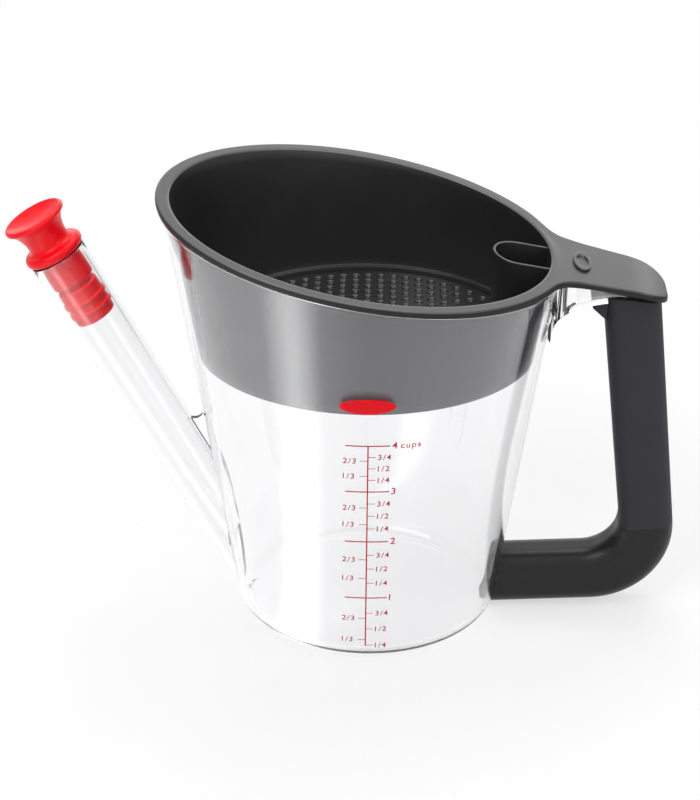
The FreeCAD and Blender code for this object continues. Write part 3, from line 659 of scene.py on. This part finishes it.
def make_scale():
    """The printed scale: a line, long ticks at whole cups, short ones at the fractions."""
    wide, thin = 0.25, 0.125
    pieces = []

    def tick(x_low, x_high, cups, half, columns=2):
        """A level line of that half thickness at a volume."""
        z = mark_height(cups)
        pieces.append(printed_line("tick", x_low, x_high, z - half, z + half, columns))

    def words(text, x, cups, drop, height):
        """Words that stand by drop below a volume's line."""
        pieces.append(printed_words("words", text, x, mark_height(cups) - drop, height))

    lowest, highest = mark_height(0.25) - wide, mark_height(4) + wide
    pieces.append(printed_line("scale_line", -wide, wide, lowest, highest))
    for whole in (1, 2, 3, 4):
        tick(-8.2, 8.0, whole, wide, 17)
        words(str(whole), 8.7, whole, 1.25, 2.9)
    words("cups", 11.9, 4, 1.25, 2.5)
    for whole in (0, 1, 2, 3):
        for part, text in ((1 / 4, "1/4"), (1 / 2, "1/2"), (3 / 4, "3/4")):
            tick(0, 2.8, whole + part, thin)
            words(text, 3.6, whole + part, 1.2, 2.4)
        for part, text in ((1 / 3, "1/3"), (2 / 3, "2/3")):
            tick(-3.0, 0, whole + part, thin)
            words(text, -9.2, whole + part, 1.2, 2.4)
    return joined("printed_scale", pieces)


def make_badge():
    """Plain domed oval badge on the wall, left bare: ovals of (share of the half axes, height
    above the wall) that rise to a dome."""
    turn = turns(96)
    profile = np.array([
        (1.0, 0.02), (1.0, 0.16), (0.985, 0.3), (0.95, 0.42),
        (0.85, 0.52), (0.65, 0.6), (0.3, 0.64), (0.05, 0.65),
    ])
    middle_x, middle_z, half_length, half_height = -0.4, 122.7, 10.3, 3.25
    x = middle_x + half_length * profile[:, :1] * np.cos(turn)
    z = middle_z + half_height * profile[:, :1] * np.sin(turn)
    return skin("badge", on_front(x, z, profile[:, 1:]))


# ---- shader maths ----------------------------------------------------------------------
class Signal:
    """One socket of a node tree. Arithmetic on it adds Math nodes."""

    def __init__(self, tree, socket=None):
        self.tree = tree
        self.socket = socket

    def make(self, kind, settings, sockets, output=0):
        """Adds a node: its settings first, then each socket's number, tuple or Signal."""
        node = self.tree.nodes.new("ShaderNode" + kind)
        for name, value in settings.items():
            if name != "stops":
                setattr(node, name, value)
                continue
            ramp = node.color_ramp.elements
            while len(ramp) < len(value):
                ramp.new(1.0)
            for stop, (spot, level) in zip(ramp, value):
                stop.position = spot
                stop.color = (level, level, level, 1.0)
        for name, value in sockets.items():
            if isinstance(value, Signal):
                self.tree.links.new(value.socket, node.inputs[name])
            else:
                node.inputs[name].default_value = value
        return Signal(self.tree, node.outputs[output] if node.outputs else None)

    def maths(self, operation, other=0.0):
        """This number and another one through a Math node."""
        return self.make("Math", {"operation": operation}, {0: self, 1: other})

    def __add__(self, other):
        return self.maths("ADD", other)

    def __sub__(self, other):
        return self.maths("SUBTRACT", other)

    def __rsub__(self, other):
        return self.make("Math", {"operation": "SUBTRACT"}, {0: other, 1: self})

    def __mul__(self, other):
        return self.maths("MULTIPLY", other)

    def __truediv__(self, other):
        return self.maths("DIVIDE", other)

    __radd__ = __add__
    __rmul__ = __mul__


def tone(red, green, blue):
    """The linear colour of the red, green and blue that a screen shows, 0 to 255."""
    seen = np.array([red, green, blue]) / 255.0
    linear = np.where(seen <= 0.04045, seen / 12.92, ((seen + 0.055) / 1.055) ** 2.4)
    return (*(float(c) for c in linear), 1.0)


def material(name, make_shader):
    """A node material whose surface is what make_shader returns for its start Signal."""
    made = bpy.data.materials.new(name)
    made.use_nodes = True
    made.node_tree.nodes.clear()
    start = Signal(made.node_tree)
    start.make("OutputMaterial", {}, {"Surface": make_shader(start)})
    return made


def place_on(start):
    """Object coordinates in metres, the same as places in the frame."""
    return start.make("TexCoord", {}, {}, "Object")


def mottle(start, size, detail=2.0):
    """Cloudy noise from 0 to 1 whose spots are about size metres across."""
    return start.make("TexNoise", {}, {"Vector": place_on(start), "Scale": 1 / size, "Detail": detail})


def between(start, mask, low, high):
    """The colour low where mask is 0 and high where it is 1."""
    return start.make("Mix", {"data_type": "RGBA"}, {0: mask, 6: low, 7: high}, 2)


def bumped(start, height, distance):
    """The normal of a surface raised by height times distance, in metres."""
    return start.make("Bump", {}, {"Height": height, "Distance": distance, "Strength": 1.0})


def light_path(start, output):
    """1 for rays of a kind and 0 for others, or a ray's count of bounces of a kind."""
    return start.make("LightPath", {}, {}, output)


def eased(start, mask, low, high, from_value, to_value):
    """A smooth step from from_value, where mask is low, to to_value, where it is high."""
    settings = {"interpolation_type": "SMOOTHSTEP"}
    return start.make("MapRange", settings, {0: mask, 1: low, 2: high, 3: from_value, 4: to_value})


def plastic(dark, light, grain, grain_height, rough, rough_spread, specular=0.5):
    """Moulded plastic: cloudy tone between dark and light, fine grain of a size and a height in
    metres, uneven gloss."""

    def shader(start):
        cloud = mottle(start, 0.02)
        fine = mottle(start, grain, 3.0)
        return start.make(
            "BsdfPrincipled",
            {},
            {
                "Base Color": between(start, cloud, dark, light),
                "Roughness": rough + (cloud - 0.5) * rough_spread + (fine - 0.5) * rough_spread,
                "Specular IOR Level": specular,
                "Normal": bumped(start, fine, grain_height),
            },
        )

    return shader


def clear_plastic(start):
    """Clear moulded plastic: light goes through, and lamps reach what is behind."""
    haze = mottle(start, 0.03, 1.0)
    body = start.make(
        "BsdfPrincipled",
        {},
        {
            "Base Color": between(start, haze, (0.955, 0.955, 0.962, 1), (0.97, 0.97, 0.976, 1)),
            "Roughness": 0.0,
            "IOR": 1.57,
            "Transmission Weight": 1.0,
        },
    )
    through = start.make("BsdfTransparent", {}, {"Color": (0.96, 0.96, 0.96, 1)})
    shadow = light_path(start, "Is Shadow Ray")
    return start.make("MixShader", {}, {0: shadow, 1: body, 2: through})


def seen_or_mirrored(start):
    """1 for rays that come from the camera, from a mirror-like surface or through glass."""
    kinds = ("Is Camera Ray", "Is Glossy Ray", "Is Transmission Ray")
    seen, mirrored, passed = (light_path(start, kind) for kind in kinds)
    return seen.maths("MAXIMUM", mirrored).maths("MAXIMUM", passed)


def pale_floor(start):
    """Floor that looks white and still takes a shadow, and whitens far off. Reflections find a
    painted highlight on it, a glowing bright strip in front and to the left, and painted shade, darker
    ground on both sides."""
    painted_highlight_strip_level, white_level = 4.8, 0.585
    x, y = (start.make("SeparateXYZ", {}, {0: place_on(start)}, k) for k in (0, 1))
    around = x.maths("ARCTAN2", 0.0 - y) / math.tau + 0.5
    stops = [
        (0.0, 0.2), (0.2, 0.25), (0.3, 0.3), (0.346, 0.36), (0.386, 1.0),
        (0.4, 1.0), (0.436, 0.27), (0.5, 0.17), (0.6, 0.2),
    ]
    # painted highlight: the strip glows brighter than white, only where reflections see it
    painted_highlight_strip = start.make("ValToRGB", {"stops": stops}, {0: around}) * painted_highlight_strip_level
    reflected = light_path(start, "Glossy Depth").maths("MINIMUM", 1.0)
    camera = light_path(start, "Is Camera Ray")
    # painted shade: reflections and other rays see darker ground to the left and right
    sides = eased(start, x.maths("ABSOLUTE"), 0.3, 0.9, 1.0, 0.3)
    far_off = eased(start, (x * x + y * y).maths("SQRT"), 0.9, 2.8, 1.0, 1.71)
    mirrored = (1.0 - reflected) + reflected * painted_highlight_strip
    level = camera * far_off + (1.0 - camera) * sides * mirrored
    plain = start.make("BsdfDiffuse", {}, {"Color": (0.8, 0.8, 0.8, 1)})
    shadowed = start.make("BsdfDiffuse", {}, {"Color": (0.4, 0.4, 0.4, 1)})
    white = start.make("Emission", {}, {"Color": (1, 1, 1, 1), "Strength": level * white_level})
    shown = start.make("AddShader", {}, {0: shadowed, 1: white})
    return start.make("MixShader", {}, {0: seen_or_mirrored(start), 1: plain, 2: shown})


def pale_sky(start):
    """Sky that is white to the camera and half as bright as light. In mirror-like surfaces and
    through glass it is darker to the left and right."""
    shown = seen_or_mirrored(start)
    camera = light_path(start, "Is Camera Ray")
    way_on = start.make("TexCoord", {}, {}, "Generated")
    sideways = start.make("SeparateXYZ", {}, {0: way_on}, 0).maths("ABSOLUTE")
    flank = eased(start, sideways, 0.5, 0.85, 0.0, 0.7)
    level = 0.5 + shown * 0.5 - (shown - camera) * flank
    return start.make("Background", {}, {"Color": (1, 1, 1, 1), "Strength": level})


finishes = {
    "clear_plastic": material("clear_plastic", clear_plastic),
    "strainer_plastic": material(
        "satin_black_plastic",
        plastic(tone(30, 30, 31), tone(36, 36, 37), 0.0004, 0.000008, 0.3, 0.05, 0.9),
    ),
    # rougher and darker copy of the black plastic for the upright sides of lip and tab: painted shade
    # that makes them look dark
    "strainer_matt_painted_shade": material(
        "matt_black_plastic_painted_shade",
        plastic(tone(28, 28, 29), tone(34, 34, 35), 0.0004, 0.000008, 0.5, 0.05, 0.3),
    ),
    # lighter, glossier copy of the black plastic for the basket's outer wall: painted sheen that
    # stands in for reflections seen through the clear wall
    "strainer_painted_sheen": material(
        "black_plastic_painted_sheen",
        plastic(tone(62, 62, 67), tone(64, 64, 69), 0.0008, 0.0, 0.21, 0.01, 1.0),
    ),
    "stopper_rubber": material(
        "red_silicone",
        plastic(tone(244, 4, 22), tone(250, 8, 28), 0.0005, 0.000003, 0.3, 0.06, 0.25),
    ),
    "handle_plastic": material(
        "hard_black_plastic",
        plastic(tone(14, 14, 15), tone(20, 20, 21), 0.0003, 0.000006, 0.36, 0.06, 0.35),
    ),
    "grip_rubber": material(
        "soft_grip_rubber",
        plastic(tone(44, 44, 49), tone(50, 50, 56), 0.00035, 0.00003, 0.62, 0.1, 0.3),
    ),
    "screw_steel": material(
        "bright_steel",
        plastic(tone(180, 180, 178), tone(200, 200, 198), 0.0004, 0.00001, 0.3, 0.1),
    ),
    "print_ink": material(
        "crimson_ink",
        plastic(tone(184, 18, 42), tone(194, 26, 50), 0.0005, 0.0, 0.5, 0.05, 0.2),
    ),
    "badge_red": material(
        "badge_red",
        plastic(tone(232, 6, 22), tone(238, 10, 28), 0.001, 0.0, 0.2, 0.03, 0.16),
    ),
}


def finish_with(thing, *names):
    """Gives a piece its materials, the first one for all faces that name no other."""
    thing.data.materials.clear()
    for name in names:
        thing.data.materials.append(finishes[name])
    return thing


def place(piece, body, slot, replaced, *names):
    """Settles a new piece: smooth shading, materials, body and the nodes it stands for. The slot is
    not used.
    """
    finish_with(shade(piece), *names)
    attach(piece, body)
    if replaced:
        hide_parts(*replaced)
    return piece


def outside_faces(piece):
    """Gives the second material, a lighter copy with painted sheen, to the faces of the basket's
    outer wall: those that look away from the jug's axis and lie under the lip. The third one, a
    darker matt copy with painted shade, goes to the upright sides of lip and tab."""
    count = len(piece.data.polygons)
    middle, way = np.zeros(count * 3), np.zeros(count * 3)
    piece.data.polygons.foreach_get("center", middle)
    piece.data.polygons.foreach_get("normal", way)
    middle, way = middle.reshape(-1, 3) / MM, way.reshape(-1, 3)
    x, y, z = middle.T
    off_wall, outward, steep = 1.0, 0.3, 0.6
    under = z < RIM - LIP - SEAT_GAP - RIM_FALL * x
    half_length = BASE[0] - off_wall + z * WIDENING
    half_width = BASE[1] - off_wall + z * FLANK
    inside = ((x - z * DRIFT) / half_length) ** 2 + (y / half_width) ** 2 < 1
    away = (way[:, :2] * middle[:, :2]).sum(1) > outward * np.linalg.norm(middle[:, :2], axis=1)
    upright = np.abs(way[:, 2]) < steep
    chosen = np.where(under & inside & away, 1, np.where(~inside & upright, 2, 0))
    piece.data.polygons.foreach_set("material_index", chosen.astype(np.int32))


place(make_jug(), "jug", "clear_plastic", ["clear_jug"], "clear_plastic")
basket_names = ("strainer_plastic", "strainer_painted_sheen", "strainer_matt_painted_shade")
# the basket's outer wall gets painted sheen, the upright sides of lip and tab painted shade
outside_faces(
    place(make_strainer(), "strainer", "strainer_plastic", ["strainer_basket"], *basket_names)
)
place(make_chimney(), "strainer", "strainer_plastic", [], "strainer_plastic")
place(make_boss(), "strainer", "strainer_plastic", [], "strainer_plastic")
place(make_floor_plate(), "strainer", "strainer_plastic", ["straining_floor"], "strainer_plastic")
place(make_scale(), "jug", "clear_plastic", [], "print_ink")
place(make_badge(), "jug", "clear_plastic", [], "badge_red")
for node_name, finish_name in {
    "spout_stopper": "stopper_rubber",
    "handle_core": "handle_plastic",
    "soft_grip": "grip_rubber",
    "handle_screw": "screw_steel",
}.items():
    finish_with(nodes[node_name], finish_name)


# ---- studio ----------------------------------------------------------------------------
def flat_plane(name, size, height):
    """A square of the given size at a height."""
    half = size / 2
    mesh = bpy.data.meshes.new(name)
    around = ((-half, -half), (half, -half), (half, half), (-half, half))
    mesh.from_pydata([(x, y, height) for x, y in around], [], [(0, 1, 2, 3)])
    plane = bpy.data.objects.new(name, mesh)
    bpy.context.scene.collection.objects.link(plane)
    return plane


floor = flat_plane("floor", 24.0, -0.0004)  # a hair under the table's height
floor.data.materials.append(material("pale_floor", pale_floor))

sky = bpy.data.worlds.new("studio")
sky.use_nodes = True
sky.node_tree.nodes.clear()
sky_start = Signal(sky.node_tree)
sky_start.make("OutputWorld", {}, {"Surface": pale_sky(sky_start)})
bpy.context.scene.world = sky


def soft_lamp(name, spot, target, size, power):
    """A square lamp at a spot that faces a target, in metres and watts."""
    data = bpy.data.lights.new(name, "AREA")
    data.size = size
    data.energy = power
    lamp = bpy.data.objects.new(name, data)
    lamp.location = spot
    lamp.rotation_euler = (Vector(target) - Vector(spot)).to_track_quat("-Z", "Y").to_euler()
    bpy.context.scene.collection.objects.link(lamp)
    return lamp


soft_lamp("key_lamp", (-0.7, -0.8, 1.3), (0, 0, 0.08), 0.9, 9.0)
soft_lamp("fill_lamp", (1.1, -0.5, 0.8), (0, 0, 0.08), 0.9, 4.0)
soft_lamp("top_lamp", (0.1, 0.5, 1.5), (0, 0, 0.1), 1.0, 8.0)
low_lamp = soft_lamp("low_lamp", (0, 1.5, 0.42), (0, 0, 0.16), 1.6, 2.4)
low_lamp.data.shape = "RECTANGLE"
low_lamp.data.size_y = 0.4

camera_data = bpy.data.cameras.new("camera")
camera_data.lens = 99.0
camera_data.sensor_width = 36.0
camera_data.sensor_fit = "AUTO"
camera_data.clip_start = 0.01
camera = bpy.data.objects.new("camera", camera_data)
# the camera's directions, and its place in metres
right = (0.99977648, 0.0193393, 0.0085432)
up = (-0.01709708, 0.50183575, 0.86479394)
back = (0.01243722, -0.86474671, 0.50205423)
stand = (0.003072, -0.737614, 0.519078)
rows = [(*axes, spot) for *axes, spot in zip(right, up, back, stand)]
camera.matrix_world = Matrix([*rows, (0, 0, 0, 1)])
bpy.context.scene.collection.objects.link(camera)
bpy.context.scene.camera = camera
bpy.context.scene.view_settings.view_transform = "Standard"
